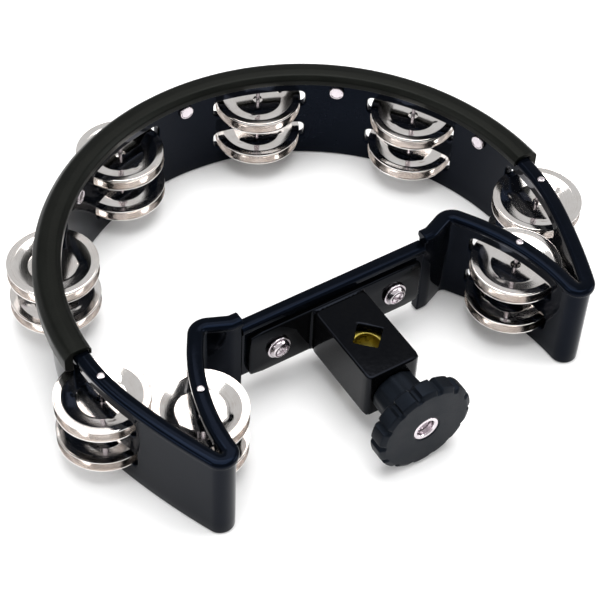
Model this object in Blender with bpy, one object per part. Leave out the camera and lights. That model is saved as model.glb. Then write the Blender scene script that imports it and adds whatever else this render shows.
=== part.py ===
"""Crescent drum-set tambourine: moulded frame, rubber grip, 32 jingles and a rod clamp.

Run with: blender --background --python part.py
The frame lies flat on Z = 0 with its horns towards -Y, where the clamp and its knob stand.
"""

import math

import bmesh
import bpy
from mathutils import Matrix, Vector

MM = 0.001
GAP = 0.3  # left between pieces that touch

# Frame band, in millimetres
ARC_RADIUS = 123.0  # middle of the band
FRAME_HEIGHT = 53.0
WALL_HALF = 2.5
RIM_HALF = 3.8
RIM_FOOT = 48.6
RIM_CHAMFER = 1.7
ARC_HALF_ANGLE = 106.0
ARM_RADIUS = 345.0
ARM_TURN = 8.3
TIP_RADIUS = 4.4
LEG_RADIUS = 110.0
LEG_TURN = 32.0
LEG_STRAIGHT = 5.6
CORNER_RADIUS = 6.0
CORNER_TURN = 81.4
SHOULDER_LENGTH = 9.5
SHOULDER_RADIUS = 6.0
LEG_END_X = 50.6

# Bar between the legs
BAR_BOTTOM = 12.0
BAR_TOP = 46.5
BAR_RIM_FOOT = 41.6
BAR_RIM_HALF = 3.6

# Jingles, their slots and their pins
JINGLE_RADIUS = 22.0
JINGLE_HOLE = 2.6
JINGLE_HUB = 11.8
JINGLE_FLANGE = 18.6  # flat from here to the rim
JINGLE_SHEET = 0.8
JINGLE_DISH = 2.3
JINGLE_SIDES = 16
STATION_ANGLES = (19.25, 57.75, 98.0)
LEG_STATION_TURN = 17.6
SLOT_LENGTH = 49.5
SLOT_HEIGHT = 10.0
SLOT_CORNER = 3.0
SLOT_FLOORS = {"low": 11.6, "high": 33.4}
PIN_RADIUS = 1.0
PIN_HOLE = 1.5
PIN_HEAD_RADIUS = 1.8
PIN_HEAD_HEIGHT = 0.8
PIN_FOOT = 6.0

# Rubber grip along the back of the rim
GRIP_HALF_ANGLE = 90.5
GRIP_TOP = 56.0
GRIP_FOOT = 42.0
GRIP_RELIEF = 43.8  # the flap's foot is raised to here over the jingles
GRIP_INNER_LIP = 5.2
GRIP_OUTER = 8.5
RIVET_ANGLES = (-77.0, -38.5, 0.0, 38.5, 77.0)
RIVET_Z = 44.4
RIVET_HEAD_RADIUS = 3.9
RIVET_HEAD = 1.5
RIVET_SHANK = 1.6
RIVET_HOLE = 2.2

# Bracket on the bar
PLATE_HALF_X = 48.0
PLATE_THICK = 2.5
PLATE_Z = (12.5, 40.5)
SCREW_X = 32.8
SCREW_Z = 26.2
SCREW_RADIUS = 3.0
SCREW_HOLE = 3.5
WASHER_RADIUS = 6.2
WASHER_THICK = 1.2
HEAD_RADIUS = 5.2
HEAD_HEIGHT = 2.6
NUT_RADIUS = 5.6
NUT_HEIGHT = 5.0
HOUSING_SIDE = 28.0
HOUSING_WALL = 3.0
HOUSING_FRONT = -71.0
HOUSING_BEVEL = 2.0
HOUSING_INSET = 0.4  # the housing stands this far inside the plate's top and bottom edges
ROD_HOLE_Y = -48.5
ROD_HOLE_HALF_DIAGONAL = 8.5

# Clamp: a sliding eye on a threaded stud, drawn forward by the knob
CLAMP_Z = 25.2
EYE_HALF_X = 9.5
EYE_HALF_Z = 9.0
EYE_Y = (-58.0, -39.0)
EYE_BORE = 6.2
STUD_RADIUS = 4.0
STUD_HOLE = 4.5
STUD_Y = (-95.5, -56.3)
SOCKET_END = -56.0
KNOB_BACK = -71.3
KNOB_SHOULDER = -89.0
KNOB_FRONT = -98.5
KNOB_RADIUS = 25.0
KNOB_FLUTE_DEPTH = 1.8
KNOB_LOBES = 14
NECK_RADIUS = 11.4
NECK_FOOT_RADIUS = 12.2
INSERT_RADIUS = 6.6
INSERT_Y = (-98.2, -76.0)

# Puts the origin midway between the knob's front and the rearmost jingles.
ARC_CENTRE_Y = -19.79
HOUSING_Z = (PLATE_Z[0] + PLATE_Z[1]) / 2


def point(x, y, z=0.0):
    """A place given from the arc's centre in millimetres, in world metres."""
    return Vector((x, y + ARC_CENTRE_Y, z)) * MM


def on_arc(angle_deg, radius=ARC_RADIUS):
    """A place on a circle round the arc's centre, its angle counted from the back towards +X."""
    angle = math.radians(angle_deg)
    return radius * math.sin(angle), radius * math.cos(angle)


def material(name, colour, roughness, metallic):
    shade = bpy.data.materials.new(name)
    shade.use_nodes = True
    surface = shade.node_tree.nodes["Principled BSDF"]
    surface.inputs["Base Color"].default_value = (*colour, 1.0)
    surface.inputs["Roughness"].default_value = roughness
    surface.inputs["Metallic"].default_value = metallic
    return shade


def add_object(name, bm, shade=None, cutter=False, smooth=True):
    """Puts a bmesh into the scene as a named object."""
    mesh = bpy.data.meshes.new(name)
    bmesh.ops.recalc_face_normals(bm, faces=bm.faces)
    bm.to_mesh(mesh)
    bm.free()
    obj = bpy.data.objects.new(name, mesh)
    bpy.context.scene.collection.objects.link(obj)
    if shade:
        mesh.materials.append(shade)
    if smooth:
        mesh.shade_smooth()
        mesh.set_sharp_from_angle(angle=math.radians(32))
    if cutter:
        obj.hide_render = True
        obj.display_type = "WIRE"
    return obj


def combine(obj, other, operation):
    """A live EXACT Boolean of obj with a helper object."""
    boolean = obj.modifiers.new(f"{operation.lower()} {other.name}", "BOOLEAN")
    boolean.operation = operation
    boolean.solver = "EXACT"
    boolean.object = other


def turned(bm, profile, sides, matrix):
    """Revolves a closed (radius, height) profile round Z, then places it by the matrix."""
    rings = []
    for step in range(sides):
        angle = 2 * math.pi * step / sides
        rings.append([
            bm.verts.new(matrix @ (Vector((r * math.cos(angle), r * math.sin(angle), h)) * MM))
            for r, h in profile
        ])
    count = len(profile)
    for step in range(sides):
        here, there = rings[step], rings[(step + 1) % sides]
        for k in range(count):
            after = (k + 1) % count
            bm.faces.new((here[k], there[k], there[after], here[after]))


def stack_of_rings(bm, profile, outline, matrix):
    """A solid with flat ends: the outline, scaled to each (scale, height) of the profile."""
    rings = [
        [bm.verts.new(matrix @ (Vector((x * scale, y * scale, h)) * MM)) for x, y in outline]
        for scale, h in profile
    ]
    for low, high in zip(rings, rings[1:]):
        for k in range(len(outline)):
            after = (k + 1) % len(outline)
            bm.faces.new((low[k], low[after], high[after], high[k]))
    bm.faces.new(reversed(rings[0]))
    bm.faces.new(rings[-1])


def circle(sides, turn=0.0):
    """A regular polygon of unit radius."""
    return [
        (math.cos(2 * math.pi * k / sides + turn), math.sin(2 * math.pi * k / sides + turn))
        for k in range(sides)
    ]


def rod(bm, radius, start, end, matrix, sides=12):
    """A straight cylinder along the matrix's Z, from start to end."""
    stack_of_rings(bm, [(radius, start), (radius, end)], circle(sides), matrix)


def swept(bm, profile, path, closed=False):
    """Carries an (offset, height) profile along a plan path; the offset is to the path's left."""
    count = len(path)
    rings = []
    for k, here in enumerate(path):
        before = path[(k - 1) % count] if closed or k else here
        after = path[(k + 1) % count] if closed or k < count - 1 else here
        first = (here - before).normalized() if before is not here else (after - here).normalized()
        second = (after - here).normalized() if after is not here else first
        along = (first + second).normalized()
        stretch = 1 / max(0.2, along.dot(first))
        left = Vector((-along.y, along.x)) * stretch
        rings.append([
            bm.verts.new(point(here.x + left.x * offset, here.y + left.y * offset, height))
            for offset, height in profile
        ])
    steps = count if closed else count - 1
    for k in range(steps):
        here, there = rings[k], rings[(k + 1) % count]
        for j in range(len(profile)):
            after = (j + 1) % len(profile)
            bm.faces.new((here[j], here[after], there[after], there[j]))
    if not closed:
        bm.faces.new(rings[0])
        bm.faces.new(reversed(rings[-1]))


class Route:
    """A plan line drawn from straight runs and arcs, as a pen moves."""

    def __init__(self, x, y, heading):
        self.at = Vector((x, y))
        self.heading = heading
        self.points = [self.at.copy()]

    def straight(self, length):
        self.at += Vector((math.cos(self.heading), math.sin(self.heading))) * length
        self.points.append(self.at.copy())

    def arc(self, radius, turn_deg, steps):
        """Turns left for a positive angle and right for a negative one."""
        side = math.copysign(1, turn_deg)
        normal = Vector((-math.sin(self.heading), math.cos(self.heading))) * side
        centre = self.at + normal * radius
        for k in range(1, steps + 1):
            heading = self.heading + math.radians(turn_deg) * k / steps
            out = Vector((math.sin(heading), -math.cos(heading))) * side
            self.points.append(centre + out * radius)
        self.heading += math.radians(turn_deg)
        self.at = self.points[-1].copy()


def half_band():
    """The band's middle line from the back to the end of the right leg, and the leg's start."""
    route = Route(0.0, ARC_RADIUS, 0.0)
    route.arc(ARC_RADIUS, -ARC_HALF_ANGLE, 21)
    route.arc(ARM_RADIUS, -ARM_TURN, 6)
    route.arc(TIP_RADIUS, -(270 - ARC_HALF_ANGLE - ARM_TURN), 8)
    leg_start = route.at.copy()
    route.arc(LEG_RADIUS, LEG_TURN, 8)
    route.straight(LEG_STRAIGHT)
    route.arc(CORNER_RADIUS, CORNER_TURN, 5)
    route.straight(SHOULDER_LENGTH)
    route.arc(SHOULDER_RADIUS, 180 - (90 + LEG_TURN + CORNER_TURN), 2)
    route.straight(route.at.x - LEG_END_X)
    return route.points, leg_start


def leg_station(leg_start):
    """The pin's place and the band's direction on the right leg."""
    turn = math.radians(LEG_STATION_TURN)
    x = leg_start.x - LEG_RADIUS * (1 - math.cos(turn))
    y = leg_start.y + LEG_RADIUS * math.sin(turn)
    return x, y, math.pi / 2 + turn


def stations(leg_start):
    """The eight jingle places, clockwise from the left leg: x, y and the band's direction."""
    right = []
    for angle in STATION_ANGLES:
        x, y = on_arc(angle)
        right.append((x, y, -math.radians(angle)))
    right.append(leg_station(leg_start))
    left = [(-x, y, math.pi - direction) for x, y, direction in reversed(right)]
    return left + right


def band_profile(half, foot, rim_half, rim_foot, top, chamfer):
    """The wall with its wider rim, as offset and height."""
    rim_step = rim_half - half
    right = [
        (half, foot),
        (half, rim_foot),
        (rim_half, rim_foot + rim_step),
        (rim_half, top - chamfer),
        (rim_half - chamfer, top),
    ]
    return right + [(-offset, height) for offset, height in reversed(right)]


def slot_outline():
    """A slot's rounded outline, as distance along the band and height above its floor."""
    half, height, corner = SLOT_LENGTH / 2, SLOT_HEIGHT, SLOT_CORNER
    centres = (
        (half - corner, corner, -90),
        (half - corner, height - corner, 0),
        (-half + corner, height - corner, 90),
        (-half + corner, corner, 180),
    )
    outline = []
    for along, up, start in centres:
        for step in range(3):
            angle = math.radians(start + 45 * step)
            outline.append((along + corner * math.cos(angle), up + corner * math.sin(angle)))
    return outline


def upright(x, y, direction, z=0.0):
    """A frame at a band place: its X along the band, its Y across it, its Z up."""
    return Matrix.Translation(point(x, y, z)) @ Matrix.Rotation(direction, 4, "Z")


def across(x, y, direction, z=0.0):
    """The same place with its Z across the band and its Y up."""
    return upright(x, y, direction, z) @ Matrix.Rotation(math.pi / 2, 4, "X")


def along_y(x, z, y=0.0):
    """A frame whose Z runs along +Y and whose Y points down, at arc distance y."""
    return Matrix.Translation(point(x, y, z)) @ Matrix.Rotation(-math.pi / 2, 4, "X")


def make_frame(places, band):
    profile = band_profile(WALL_HALF, 0.0, RIM_HALF, RIM_FOOT, FRAME_HEIGHT, RIM_CHAMFER)
    mirrored = [Vector((-p.x, p.y)) for p in reversed(band[1:])]
    bm = bmesh.new()
    swept(bm, profile, mirrored + band)
    frame = add_object("frame", bm, MATERIALS["frame"])

    bm = bmesh.new()
    bar_profile = band_profile(
        WALL_HALF, BAR_BOTTOM, BAR_RIM_HALF, BAR_RIM_FOOT, BAR_TOP, RIM_CHAMFER
    )
    end = band[-1]
    reach = end.x + WALL_HALF
    swept(bm, bar_profile, [Vector((-reach, end.y)), Vector((reach, end.y))])
    combine(frame, add_object("bar_helper", bm, cutter=True), "UNION")

    bm = bmesh.new()
    for x, y, direction in places:
        for floor in SLOT_FLOORS.values():
            stack_of_rings(bm, [(1, -8), (1, 8)], slot_outline(), across(x, y, direction, floor))
    combine(frame, add_object("slot_cutter", bm, cutter=True), "DIFFERENCE")

    bm = bmesh.new()
    for x, y, direction in places:
        place = upright(x, y, direction)
        rod(bm, PIN_HOLE, PIN_FOOT - 1, FRAME_HEIGHT + 2, place, sides=8)
    for angle in RIVET_ANGLES:
        x, y = on_arc(angle)
        place = across(x, y, -math.radians(angle), RIVET_Z)
        rod(bm, RIVET_HOLE, -5, 5, place, sides=10)
    for side in (-1, 1):
        rod(bm, SCREW_HOLE, -6, 6, along_y(side * SCREW_X, SCREW_Z, end.y))
    combine(frame, add_object("hole_cutter", bm, cutter=True), "DIFFERENCE")
    return frame


def make_grip():
    lip_inside, top_inside = RIM_HALF + GAP, FRAME_HEIGHT + GAP
    profile = [
        (-GRIP_INNER_LIP, RIM_FOOT + 1.5),
        (-lip_inside, RIM_FOOT + 1.5),
        (-lip_inside, top_inside),
        (lip_inside, top_inside),
        (lip_inside, GRIP_FOOT),
        (GRIP_OUTER - 2.2, GRIP_FOOT),
        (GRIP_OUTER, GRIP_FOOT + 2.6),
        (GRIP_OUTER, GRIP_TOP - 3.4),
        (GRIP_OUTER - 2.8, GRIP_TOP - 0.4),
        (GRIP_OUTER - 7.0, GRIP_TOP),
        (-GRIP_INNER_LIP + 2.0, GRIP_TOP - 0.5),
        (-GRIP_INNER_LIP, GRIP_TOP - 2.4),
    ]
    steps = 36
    path = [
        Vector(on_arc(-GRIP_HALF_ANGLE + 2 * GRIP_HALF_ANGLE * k / steps)) for k in range(steps + 1)
    ]
    bm = bmesh.new()
    swept(bm, profile, path)
    grip = add_object("grip", bm, MATERIALS["rubber"])
    bm = bmesh.new()
    for angle in RIVET_ANGLES:
        x, y = on_arc(angle)
        place = across(x, y, -math.radians(angle), RIVET_Z)
        profile = [
            (RIVET_HOLE, 0.0),
            (RIVET_HOLE, -GRIP_OUTER + 1.8),
            (RIVET_HEAD_RADIUS + GAP, -GRIP_OUTER + 1.8),
            (RIVET_HEAD_RADIUS + GAP, -GRIP_OUTER - 2),
        ]
        stack_of_rings(bm, profile, circle(10), place)
    half = SLOT_LENGTH / 2
    relief = [(-half - 2, 0), (half + 2, 0), (half, 6), (-half, 6)]
    pocket_top = FRAME_HEIGHT + PIN_HEAD_HEIGHT + 2 * GAP
    for angle in STATION_ANGLES:
        for side in (-1, 1):
            spot = on_arc(side * angle)
            if angle < GRIP_HALF_ANGLE:
                place = upright(*spot, 0.0)
                rod(bm, PIN_HEAD_RADIUS + GAP, FRAME_HEIGHT - 1, pocket_top, place, sides=8)
            place = across(*spot, -math.radians(side * angle), GRIP_RELIEF - 6)
            stack_of_rings(bm, [(1, -12), (1, -0.5)], relief, place)
    combine(grip, add_object("grip_hole_cutter", bm, cutter=True), "DIFFERENCE")
    return grip


def make_rivets():
    """Five rivets through the wall and the grip's outer flap, domed on the inside."""
    inside = WALL_HALF + GAP
    profile = [
        (2.2, inside + RIVET_HEAD),
        (3.4, inside + RIVET_HEAD * 0.65),
        (RIVET_HEAD_RADIUS, inside),
        (RIVET_SHANK, inside),
        (RIVET_SHANK, -GRIP_OUTER + 1.8 - GAP),
        (RIVET_HEAD_RADIUS, -GRIP_OUTER + 1.8 - GAP),
        (RIVET_HEAD_RADIUS, -GRIP_OUTER + 0.2),
    ]
    for number, angle in enumerate(RIVET_ANGLES, 1):
        x, y = on_arc(angle)
        bm = bmesh.new()
        place = across(x, y, -math.radians(angle), RIVET_Z)
        stack_of_rings(bm, profile, circle(12), place)
        add_object(f"grip_rivet_{number}", bm, MATERIALS["nickel"])


def make_pins(places):
    """Eight headed pins, each dropped through the band and both of its slots."""
    profile = [
        (PIN_RADIUS, PIN_FOOT),
        (PIN_RADIUS, FRAME_HEIGHT + GAP),
        (PIN_HEAD_RADIUS, FRAME_HEIGHT + GAP),
        (PIN_HEAD_RADIUS * 0.7, FRAME_HEIGHT + GAP + PIN_HEAD_HEIGHT),
    ]
    for number, (x, y, direction) in enumerate(places, 1):
        bm = bmesh.new()
        stack_of_rings(bm, profile, circle(8), Matrix.Identity(4))
        pin = add_object(f"jingle_pin_{number}", bm, MATERIALS["nickel"])
        pin.location = point(x, y)
        pin.rotation_euler.z = direction


def jingle_mesh(name, upside_down):
    """A disc with a raised flat hub and a flat rim; the lower one of a pair opens downwards."""
    profile = [
        (JINGLE_HOLE, JINGLE_DISH),
        (JINGLE_HUB, JINGLE_DISH),
        (JINGLE_FLANGE, 0.0),
        (JINGLE_RADIUS, 0.0),
        (JINGLE_RADIUS, JINGLE_SHEET),
        (JINGLE_FLANGE, JINGLE_SHEET),
        (JINGLE_HUB, JINGLE_DISH + JINGLE_SHEET),
        (JINGLE_HOLE, JINGLE_DISH + JINGLE_SHEET),
    ]
    if upside_down:
        profile = [(radius, -height) for radius, height in profile]
    bm = bmesh.new()
    turned(bm, profile, JINGLE_SIDES, Matrix.Identity(4))
    obj = add_object(name, bm, MATERIALS["jingle"])
    return obj


def make_jingles(places):
    """Four discs a station, two in each slot; a disc's origin is on its pin."""
    stack = 2 * (JINGLE_DISH + JINGLE_SHEET) + GAP
    meshes = {}
    for number, (x, y, direction) in enumerate(places, 1):
        for row, floor in SLOT_FLOORS.items():
            for half, height in (("under", GAP), ("over", GAP + stack)):
                name = f"jingle_{number}_{row}_{half}"
                if half not in meshes:
                    disc = jingle_mesh(name, half == "over")
                    meshes[half] = disc.data
                else:
                    disc = bpy.data.objects.new(name, meshes[half])
                    bpy.context.scene.collection.objects.link(disc)
                disc.location = point(x, y, floor + height)
                disc.rotation_euler.z = direction


def box(bm, low, high):
    """An upright box between two corners, given from the arc's centre."""
    size = Vector(high) - Vector(low)
    middle = (Vector(high) + Vector(low)) / 2
    matrix = Matrix.Translation(point(*middle)) @ Matrix.Diagonal((*(size * MM), 1))
    return bmesh.ops.create_cube(bm, size=1.0, matrix=matrix)["verts"]


def bevel_upright_edges(bm, width, segments=2):
    edges = [e for e in bm.edges if abs((e.verts[0].co - e.verts[1].co).normalized().z) > 0.99]
    bmesh.ops.bevel(bm, geom=edges, offset=width * MM, segments=segments, affect="EDGES")


def make_bracket(bar_y):
    """The plate on the bar, with the square housing welded to its front."""
    plate_back = bar_y - WALL_HALF - GAP
    plate_front = plate_back - PLATE_THICK
    half = HOUSING_SIDE / 2
    bm = bmesh.new()
    low = (-PLATE_HALF_X, plate_front, PLATE_Z[0])
    box(bm, low, (PLATE_HALF_X, plate_back, PLATE_Z[1]))
    ends = [e for e in bm.edges if abs((e.verts[0].co - e.verts[1].co).normalized().y) > 0.99]
    bmesh.ops.bevel(bm, geom=ends, offset=3 * MM, segments=3, affect="EDGES")
    bracket = add_object("bracket", bm, MATERIALS["steel_black"])

    bm = bmesh.new()
    low = (-half, HOUSING_FRONT, HOUSING_Z - half + HOUSING_INSET)
    box(bm, low, (half, plate_front + 1, HOUSING_Z + half - HOUSING_INSET))
    bevel_upright_edges(bm, HOUSING_BEVEL)
    combine(bracket, add_object("housing_helper", bm, cutter=True), "UNION")

    inner = half - HOUSING_WALL
    bm = bmesh.new()
    low = (-inner, HOUSING_FRONT + HOUSING_WALL, HOUSING_Z - inner)
    box(bm, low, (inner, plate_front, HOUSING_Z + inner))
    combine(bracket, add_object("housing_hollow_cutter", bm, cutter=True), "DIFFERENCE")

    bm = bmesh.new()
    place = Matrix.Translation(point(0, ROD_HOLE_Y, HOUSING_Z))
    rod(bm, ROD_HOLE_HALF_DIAGONAL, -half - 5, half + 5, place, sides=4)
    combine(bracket, add_object("rod_hole_cutter", bm, cutter=True), "DIFFERENCE")

    bm = bmesh.new()
    rod(bm, STUD_HOLE, -6, 6, along_y(0, CLAMP_Z, HOUSING_FRONT), sides=16)
    for side in (-1, 1):
        rod(bm, SCREW_HOLE, -5, 5, along_y(side * SCREW_X, SCREW_Z, plate_front))
    combine(bracket, add_object("bracket_hole_cutter", bm, cutter=True), "DIFFERENCE")
    return plate_front


def hex_nut(bm, bore, radius, start, height, matrix):
    """A six-sided ring, its bore six-sided too."""
    rings = []
    for size, level in (
        (bore, start),
        (bore, start + height),
        (radius, start + height),
        (radius, start),
    ):
        rings.append([
            bm.verts.new(matrix @ (Vector((x * size, y * size, level)) * MM)) for x, y in circle(6)
        ])
    for k, here in enumerate(rings):
        there = rings[(k + 1) % 4]
        for j in range(6):
            after = (j + 1) % 6
            bm.faces.new((here[j], here[after], there[after], there[j]))


def make_fasteners(bar_y, plate_front):
    """Two screws with washers in front of the plate, and their nuts behind the bar."""
    washer_front = plate_front - GAP - WASHER_THICK
    head_back = washer_front - GAP
    bar_back = bar_y + WALL_HALF
    head = [
        (HEAD_RADIUS * 0.55, head_back - HEAD_HEIGHT),
        (HEAD_RADIUS * 0.9, head_back - HEAD_HEIGHT * 0.7),
        (HEAD_RADIUS, head_back),
        (SCREW_RADIUS, head_back),
        (SCREW_RADIUS, bar_back + NUT_HEIGHT + 2),
    ]
    ring = [
        (SCREW_HOLE, washer_front),
        (SCREW_HOLE, washer_front + WASHER_THICK),
        (WASHER_RADIUS, washer_front + WASHER_THICK),
        (WASHER_RADIUS, washer_front),
    ]
    for name, side in (("left", -1), ("right", 1)):
        axis = along_y(side * SCREW_X, SCREW_Z)
        bm = bmesh.new()
        stack_of_rings(bm, head, circle(16), axis)
        add_object(f"bracket_screw_{name}", bm, MATERIALS["nickel"])
        bm = bmesh.new()
        turned(bm, ring, 20, axis)
        add_object(f"bracket_washer_{name}", bm, MATERIALS["nickel"])
        bm = bmesh.new()
        bore = (SCREW_RADIUS + GAP) / math.cos(math.pi / 6) + 0.05
        hex_nut(bm, bore, NUT_RADIUS, bar_back + GAP, NUT_HEIGHT, axis)
        add_object(f"bracket_nut_{name}", bm, MATERIALS["nickel"])


def make_clamp():
    """The sliding eye, bored upright for the rod, and the stud screwed into its front."""
    bm = bmesh.new()
    low = (-EYE_HALF_X, EYE_Y[0], CLAMP_Z - EYE_HALF_Z)
    box(bm, low, (EYE_HALF_X, EYE_Y[1], CLAMP_Z + EYE_HALF_Z))
    bevel_upright_edges(bm, 3.0)
    eye = add_object("clamp_eye", bm, MATERIALS["yellow_zinc"])
    bm = bmesh.new()
    place = Matrix.Translation(point(0, ROD_HOLE_Y, CLAMP_Z))
    rod(bm, EYE_BORE, -EYE_HALF_Z - 3, EYE_HALF_Z + 3, place, sides=16)
    combine(eye, add_object("eye_bore_cutter", bm, cutter=True), "DIFFERENCE")
    bm = bmesh.new()
    rod(bm, STUD_HOLE, EYE_Y[0] - 3, SOCKET_END, along_y(0, CLAMP_Z))
    combine(eye, add_object("eye_socket_cutter", bm, cutter=True), "DIFFERENCE")
    bm = bmesh.new()
    rod(bm, STUD_RADIUS, STUD_Y[0], STUD_Y[1], along_y(0, CLAMP_Z))
    add_object("clamp_stud", bm, MATERIALS["nickel"])


def knob_outline():
    """The fluted rim: broad lobes with narrow valleys between them."""
    outline = []
    for lobe in range(KNOB_LOBES):
        for share, depth in ((0.0, 1.0), (0.14, 0.0), (0.86, 0.0)):
            angle = 2 * math.pi * (lobe + share) / KNOB_LOBES
            radius = 1 - depth * KNOB_FLUTE_DEPTH / KNOB_RADIUS
            outline.append((radius * math.cos(angle), radius * math.sin(angle)))
    return outline


def make_knob():
    """The knob and the threaded insert pressed into it, hung on an empty on their axis."""
    axis = along_y(0, CLAMP_Z)
    spin = bpy.data.objects.new("knob_axis", None)
    bpy.context.scene.collection.objects.link(spin)
    spin.location = point(0, KNOB_SHOULDER, CLAMP_Z)
    bpy.context.view_layer.update()

    def hang(obj):
        obj.parent = spin
        obj.matrix_parent_inverse = spin.matrix_world.inverted()
        return obj

    bm = bmesh.new()
    edge = KNOB_RADIUS - 0.7
    profile = [
        (edge, KNOB_FRONT),
        (KNOB_RADIUS, KNOB_FRONT + 0.8),
        (KNOB_RADIUS, KNOB_SHOULDER - 0.8),
        (edge, KNOB_SHOULDER),
    ]
    stack_of_rings(bm, profile, knob_outline(), axis)
    knob = hang(add_object("knob", bm, MATERIALS["knob"]))
    bm = bmesh.new()
    neck = [(NECK_FOOT_RADIUS, KNOB_SHOULDER - 2), (NECK_RADIUS, KNOB_BACK)]
    stack_of_rings(bm, neck, circle(12), axis)
    combine(knob, hang(add_object("neck_helper", bm, cutter=True)), "UNION")
    bm = bmesh.new()
    rod(bm, INSERT_RADIUS + GAP, KNOB_FRONT - 3, KNOB_BACK + 3, axis, sides=16)
    combine(knob, hang(add_object("knob_bore_cutter", bm, cutter=True)), "DIFFERENCE")

    bm = bmesh.new()
    ring = [
        (STUD_HOLE, INSERT_Y[0]),
        (STUD_HOLE, INSERT_Y[1]),
        (INSERT_RADIUS, INSERT_Y[1]),
        (INSERT_RADIUS, INSERT_Y[0]),
    ]
    turned(bm, ring, 16, axis)
    hang(add_object("knob_insert", bm, MATERIALS["nickel"]))


for old in list(bpy.data.objects):
    bpy.data.objects.remove(old)

MATERIALS = {
    "frame": material("gloss_black_plastic", (0.012, 0.014, 0.02), 0.12, 0.0),
    "rubber": material("black_rubber", (0.014, 0.015, 0.013), 0.55, 0.0),
    "jingle": material("nickel_plated_steel", (0.75, 0.70, 0.66), 0.12, 1.0),
    "nickel": material("bright_nickel", (0.72, 0.68, 0.70), 0.25, 1.0),
    "steel_black": material("gloss_black_paint", (0.006, 0.006, 0.007), 0.08, 0.0),
    "yellow_zinc": material("yellow_zinc", (0.45, 0.38, 0.10), 0.3, 1.0),
    "knob": material("matte_black_plastic", (0.03, 0.035, 0.045), 0.5, 0.0),
}

middle_line, first_leg_point = half_band()
jingle_places = stations(first_leg_point)
bar_line_y = middle_line[-1].y
make_frame(jingle_places, middle_line)
make_grip()
make_rivets()
make_pins(jingle_places)
make_jingles(jingle_places)
front_of_plate = make_bracket(bar_line_y)
make_fasteners(bar_line_y, front_of_plate)
make_clamp()
make_knob()
print("bar line", round(bar_line_y, 2), "arc centre y", ARC_CENTRE_Y)
for place in jingle_places:
    print("station", [round(value, 3) for value in place])
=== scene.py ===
"""Drum-set tambourine: the looks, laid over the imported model.

Lengths are worked out in millimetres from the centre of the frame's arc and turned to metres once,
in world(); the floor and the lamps are placed in metres. Each surface is a function of two
parameters on a numpy grid.
"""

import math

import bmesh
import bpy
import numpy as np
from mathutils import Matrix, Vector

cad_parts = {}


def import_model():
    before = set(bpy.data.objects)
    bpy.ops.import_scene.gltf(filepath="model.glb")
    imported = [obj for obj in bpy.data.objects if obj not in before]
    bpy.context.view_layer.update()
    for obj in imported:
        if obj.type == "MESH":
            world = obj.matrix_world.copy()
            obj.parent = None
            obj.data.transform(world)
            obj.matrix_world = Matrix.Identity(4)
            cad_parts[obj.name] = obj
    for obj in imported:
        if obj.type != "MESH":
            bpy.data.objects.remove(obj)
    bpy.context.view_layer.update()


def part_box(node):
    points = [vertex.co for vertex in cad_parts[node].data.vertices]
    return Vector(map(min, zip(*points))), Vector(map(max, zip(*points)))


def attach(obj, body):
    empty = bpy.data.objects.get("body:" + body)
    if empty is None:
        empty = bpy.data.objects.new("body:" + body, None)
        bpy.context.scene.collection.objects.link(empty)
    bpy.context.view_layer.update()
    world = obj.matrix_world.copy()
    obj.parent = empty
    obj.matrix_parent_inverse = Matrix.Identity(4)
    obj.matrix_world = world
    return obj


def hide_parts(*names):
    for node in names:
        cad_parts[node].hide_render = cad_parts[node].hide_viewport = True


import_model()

RIM_RADIUS = 126.8
ARC_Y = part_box("frame")[1].y * 1000 - RIM_RADIUS
TAU = 2 * math.pi


# ---------------------------------------------------------------- numbers and grids


def world(points):
    """Millimetres from the arc's centre, to metres in the model's frame."""
    return (np.asarray(points, float) + (0.0, ARC_Y, 0.0)) * 0.001


def stacked(*parts):
    """Joins x, y and z arrays of any matching shapes into points."""
    return np.stack(np.broadcast_arrays(*parts), axis=-1).astype(float)


def smooth(t):
    """3t^2 - 2t^3 between 0 and 1, level outside."""
    t = np.clip(t, 0.0, 1.0)
    return t * t * (3 - 2 * t)


def rounded_line(corners, radii, steps=5, closed=False):
    """A line through the corners, each replaced by an arc of its radius that touches both sides."""
    corners = np.asarray(corners, float)
    radii = np.broadcast_to(radii, len(corners))
    line = []
    for k, here in enumerate(corners):
        if not closed and k in (0, len(corners) - 1):
            line.append(here[None])
            continue
        a = corners[k - 1] - here
        b = corners[(k + 1) % len(corners)] - here
        a, b = a / np.linalg.norm(a), b / np.linalg.norm(b)
        half = math.acos(np.clip(a @ b, -1, 1)) / 2
        if radii[k] <= 0 or half > math.pi / 2 - 1e-3:
            line.append(here[None])
            continue
        reach = radii[k] / math.tan(half)
        middle = here + (a + b) / np.linalg.norm(a + b) * radii[k] / math.sin(half)
        first, last = here + a * reach - middle, here + b * reach - middle
        t = np.linspace(0, 1, steps + 1)[:, None]
        swing = math.pi - 2 * half
        arc = (np.sin((1 - t) * swing) * first + np.sin(t * swing) * last) / math.sin(swing)
        line.append(middle + arc)
    return np.concatenate(line)


def spread(line, count):
    """The same closed line with count points, equally spaced along its length."""
    loop = np.vstack([line, line[:1]])
    run = np.concatenate([[0], np.cumsum(np.linalg.norm(np.diff(loop, axis=0), axis=1))])
    at = np.linspace(0, run[-1], count, endpoint=False)
    return np.stack([np.interp(at, run, loop[:, k]) for k in range(loop.shape[1])], axis=1)


# ---------------------------------------------------------------- meshes


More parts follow.
